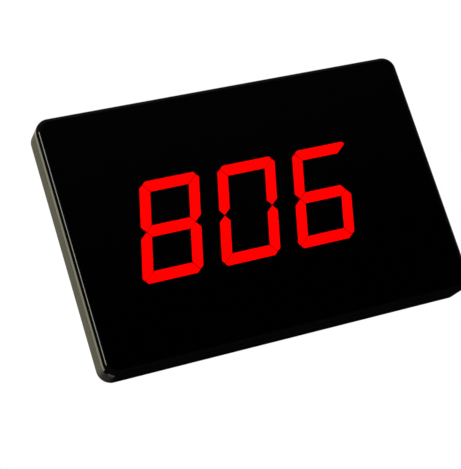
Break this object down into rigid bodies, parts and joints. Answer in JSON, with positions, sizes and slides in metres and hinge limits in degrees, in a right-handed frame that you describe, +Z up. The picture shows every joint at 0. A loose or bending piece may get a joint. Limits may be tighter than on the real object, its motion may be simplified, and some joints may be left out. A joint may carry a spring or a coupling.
{
  "type": "call pager display",
  "caption": "Flat black wall display of a wireless call pager with large red seven-segment digits behind a smoked window.",
  "frame": {"origin": "centre of the rear face, which lies against the wall", "axes": "+X to the right seen from the front, +Y from the front face back into the wall, +Z up"},
  "size_m": [0.226, 0.02, 0.1484],
  "materials": {
    "gloss_black": "polished black moulded plastic",
    "smoked_window": "smoked clear acrylic, polished",
    "case_black": "fine satin moulded plastic, dark grey-brown",
    "steel": "zinc plated",
    "aluminium_can": "drawn can",
    "matte_black": "matt black so that unlit segments do not show",
    "segment_red": "red diffusing resin, lit from behind",
    "board_green": "glass fibre board with green solder mask",
    "chip_black": "moulded epoxy",
    "connector_white": "off-white nylon",
    "copper": "bare copper wire",
    "paper_cone": "pressed paper",
    "lead_red": "red insulation",
    "lead_black": "black insulation",
    "key_black": "satin black",
    "jack_black": "moulded nylon"
  },
  "bodies": {
    "case": {"front_shell": "gloss_black", "display_window": "smoked_window", "rear_cover": "case_black", "case_screw_1": "steel", "case_screw_2": "steel", "case_screw_3": "steel", "case_screw_4": "steel", "case_screw_5": "steel", "case_screw_6": "steel", "main_board_screw_1": "steel", "main_board_screw_2": "steel", "main_board_screw_3": "steel", "main_board_screw_4": "steel", "control_board_screw_1": "steel", "control_board_screw_2": "steel", "power_switch_housing": "steel", "rf_shield_can": "steel", "crystal": "steel", "speaker_basket": "steel", "capacitor_1": "aluminium_can", "capacitor_2": "aluminium_can", "digit_reflector": "matte_black", "digit_1_light_guide": "segment_red", "digit_2_light_guide": "segment_red", "digit_3_light_guide": "segment_red", "main_board": "board_green", "control_board": "board_green", "rf_receiver_board": "board_green", "microcontroller": "chip_black", "led_driver": "chip_black", "audio_amplifier": "chip_black", "voltage_regulator": "chip_black", "rf_header": "chip_black", "tact_switch_1": "chip_black", "tact_switch_2": "chip_black", "tact_switch_3": "chip_black", "tact_switch_4": "chip_black", "speaker_connector": "connector_white", "ribbon_connector_main": "connector_white", "ribbon_connector_control": "connector_white", "ribbon_cable": "connector_white", "helical_antenna": "copper", "speaker_cone": "paper_cone", "speaker_lead_red": "lead_red", "speaker_lead_black": "lead_black", "dc_jack": "jack_black"},
    "key_1": {"key_cap_1": "key_black", "tact_plunger_1": "chip_black"},
    "key_2": {"key_cap_2": "key_black", "tact_plunger_2": "chip_black"},
    "key_3": {"key_cap_3": "key_black", "tact_plunger_3": "chip_black"},
    "key_4": {"key_cap_4": "key_black", "tact_plunger_4": "chip_black"},
    "power_switch_knob": {"power_switch_knob": "key_black"}
  },
  "joints": [
    {"name": "key_1_press", "type": "slide", "parent": "case", "child": "key_1", "axis": [-1, 0, 0], "range_m": [0, 0.0006], "stiffness_N_per_m": 1500, "springref_m": -0.0004},
    {"name": "key_2_press", "type": "slide", "parent": "case", "child": "key_2", "axis": [-1, 0, 0], "range_m": [0, 0.0006], "stiffness_N_per_m": 1500, "springref_m": -0.0004},
    {"name": "key_3_press", "type": "slide", "parent": "case", "child": "key_3", "axis": [-1, 0, 0], "range_m": [0, 0.0006], "stiffness_N_per_m": 1500, "springref_m": -0.0004},
    {"name": "key_4_press", "type": "slide", "parent": "case", "child": "key_4", "axis": [-1, 0, 0], "range_m": [0, 0.0006], "stiffness_N_per_m": 1500, "springref_m": -0.0004},
    {"name": "power_switch_slide", "type": "slide", "parent": "case", "child": "power_switch_knob", "axis": [0, 0, -1], "range_m": [0, 0.002]}
  ]
}
